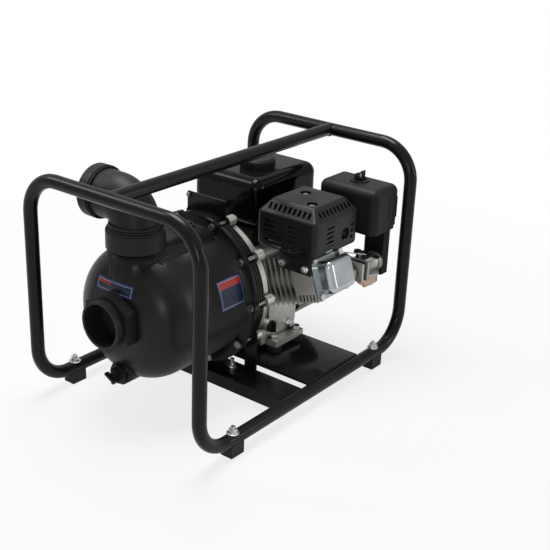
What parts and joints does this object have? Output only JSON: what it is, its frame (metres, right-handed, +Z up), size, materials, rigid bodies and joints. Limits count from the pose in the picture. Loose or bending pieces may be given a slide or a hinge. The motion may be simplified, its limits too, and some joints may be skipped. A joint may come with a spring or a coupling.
{
  "type": "centrifugal water pump",
  "caption": "Engine-driven centrifugal water pump with a domed plastic casing, flanged volute, suction and discharge ports and a tubular carrying frame.",
  "frame": {"origin": "on the floor, at the centre of the rectangle of the four frame legs", "axes": "+X from the pump end to the engine end, +Y across to the side the outlet points to, +Z up"},
  "size_m": [0.637, 0.4194, 0.4465],
  "materials": {
    "frame_paint": "gloss black",
    "poly_black": "satin black",
    "rubber": "matt",
    "zinc": "bright zinc",
    "steel": "machined",
    "cast_aluminium": "as cast",
    "cast_iron": "as cast",
    "tank_paint": "gloss black",
    "dark_plastic": "satin",
    "guard_paint": "satin black",
    "copper_plate": "copper coloured plating",
    "brass": "satin",
    "foam": "foam"
  },
  "bodies": {
    "frame_and_engine": {"adapter_housing": "guard_paint", "air_cleaner_base": "dark_plastic", "bowl_screw": "brass", "carburettor": "cast_aluminium", "casing_bolts": "zinc", "casing_nuts": "zinc", "cleaner_stud": "zinc", "crankcase": "cast_aluminium", "crankcase_cover": "cast_aluminium", "cross_member": "frame_paint", "cylinder_head": "cast_aluminium", "engine_bolts": "zinc", "engine_dampers": "rubber", "engine_end_hoop": "frame_paint", "engine_nuts": "zinc", "engine_plate": "frame_paint", "fan_shroud": "guard_paint", "filter_element": "foam", "float_bowl": "copper_plate", "foot_bolts": "zinc", "foot_nuts": "zinc", "front_casing": "poly_black", "fuel_tank": "tank_paint", "guard_screws": "zinc", "handle_bar": "frame_paint", "intake_insulator": "dark_plastic", "muffler": "steel", "muffler_guard": "guard_paint", "oil_drain_bolt": "zinc", "pump_end_hoop": "frame_paint", "rear_casing": "poly_black", "recoil_cover": "guard_paint", "rubber_feet": "rubber", "shaft_seal": "steel", "suction_fitting": "poly_black", "support_bolts": "zinc", "support_brackets": "frame_paint", "support_nuts": "zinc", "tank_brackets": "guard_paint", "top_bracket": "frame_paint", "valve_cover": "zinc", "valve_cover_bolts": "zinc", "volute": "poly_black"},
    "rotor": {"crankshaft": "steel", "impeller": "poly_black", "flywheel": "cast_iron"},
    "valve_flap": {"check_valve_flap": "rubber"},
    "elbow": {"discharge_elbow": "poly_black", "outlet_ring": "poly_black"},
    "collar": {"union_collar": "poly_black"},
    "drain_plug": {"drain_plug": "poly_black"},
    "priming_plug": {"priming_plug": "poly_black"},
    "oil_filler_plug": {"oil_filler_plug": "dark_plastic"},
    "fuel_cap": {"fuel_cap": "dark_plastic"},
    "cleaner_cover": {"air_cleaner_cover": "dark_plastic"},
    "wing_nut": {"wing_nut": "zinc"},
    "recoil_handle": {"recoil_handle": "dark_plastic"}
  },
  "joints": [
    {"name": "rotor_spin", "type": "hinge", "parent": "frame_and_engine", "child": "rotor", "pos_m": [0, 0.038, 0.159], "axis": [1, 0, 0], "continuous": true},
    {"name": "flap_swing", "type": "hinge", "parent": "frame_and_engine", "child": "valve_flap", "pos_m": [-0.2547, 0.038, 0.241], "axis": [0, -1, 0], "range_deg": [0, 55]},
    {"name": "elbow_swivel", "type": "hinge", "parent": "frame_and_engine", "child": "elbow", "pos_m": [-0.21, 0.038, 0.35], "axis": [0, 0, 1], "range_deg": [-55, 28]},
    {"name": "collar_turn", "type": "hinge", "parent": "frame_and_engine", "child": "collar", "pos_m": [-0.21, 0.038, 0.335], "axis": [0, 0, 1], "continuous": true},
    {"name": "drain_plug_turn", "type": "hinge", "parent": "frame_and_engine", "child": "drain_plug", "pos_m": [-0.258, 0.038, 0.085], "axis": [-1, 0, 0], "continuous": true},
    {"name": "priming_plug_turn", "type": "hinge", "parent": "frame_and_engine", "child": "priming_plug", "pos_m": [-0.078, 0.038, 0.32], "axis": [0, 0, 1], "continuous": true},
    {"name": "oil_plug_turn", "type": "hinge", "parent": "frame_and_engine", "child": "oil_filler_plug", "pos_m": [0.05, -0.066, 0.103], "axis": [0, -1, 0], "continuous": true},
    {"name": "fuel_cap_turn", "type": "hinge", "parent": "frame_and_engine", "child": "fuel_cap", "pos_m": [0.165, 0.072, 0.38], "axis": [0, 0, 1], "range_deg": [0, 90]},
    {"name": "cleaner_cover_lift", "type": "slide", "parent": "frame_and_engine", "child": "cleaner_cover", "axis": [0, 0, 1], "range_m": [0, 0.09]},
    {"name": "wing_nut_turn", "type": "hinge", "parent": "cleaner_cover", "child": "wing_nut", "pos_m": [0.246, -0.1185, 0.37], "axis": [0, 0, 1], "continuous": true},
    {"name": "recoil_pull", "type": "slide", "parent": "frame_and_engine", "child": "recoil_handle", "axis": [0, -1, 0], "range_m": [0, 0.45]}
  ]
}
